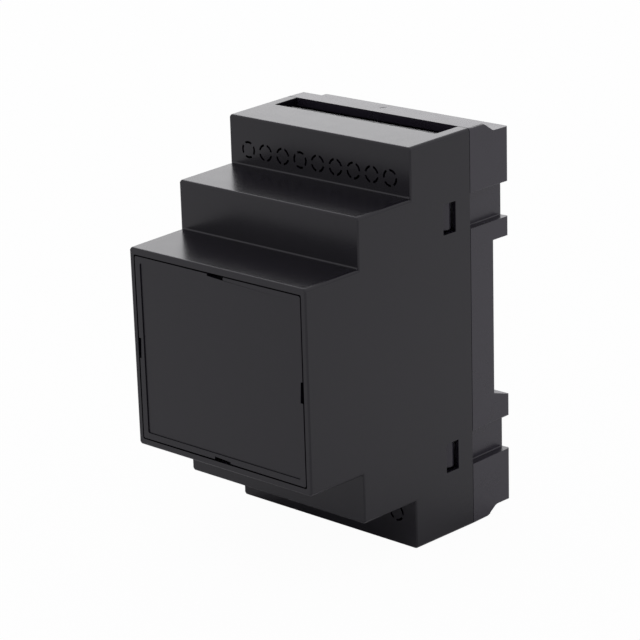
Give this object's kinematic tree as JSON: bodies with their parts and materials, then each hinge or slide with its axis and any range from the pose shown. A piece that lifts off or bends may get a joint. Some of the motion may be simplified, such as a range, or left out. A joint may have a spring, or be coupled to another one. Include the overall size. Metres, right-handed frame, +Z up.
{
  "type": "din rail enclosure",
  "caption": "Stepped black plastic enclosure that clips onto a mounting rail, with a snap-fit cover, a removable front panel, terminal openings and a sliding rail latch.",
  "frame": {"origin": "centre of the bounding box at its bottom", "axes": "+X to the right along the rail, -Y out of the front panel, +Z up"},
  "size_m": [0.0524, 0.0648, 0.0904],
  "materials": {
    "cover_plastic": "satin",
    "base_plastic": "satin",
    "panel_plastic": "satin",
    "latch_plastic": "satin"
  },
  "bodies": {
    "base": {"base": "base_plastic"},
    "cover": {"cover": "cover_plastic"},
    "front_panel": {"front_panel": "panel_plastic"},
    "rail_latch": {"rail_latch": "latch_plastic"}
  },
  "joints": [
    {"name": "cover_pull", "type": "slide", "parent": "base", "child": "cover", "axis": [0, -1, 0], "range_m": [0, 0.03]},
    {"name": "panel_pull", "type": "slide", "parent": "cover", "child": "front_panel", "axis": [0, -1, 0], "range_m": [0, 0.015]},
    {"name": "latch_slide", "type": "slide", "parent": "base", "child": "rail_latch", "axis": [0, 0, -1], "range_m": [0, 0.0035]}
  ]
}
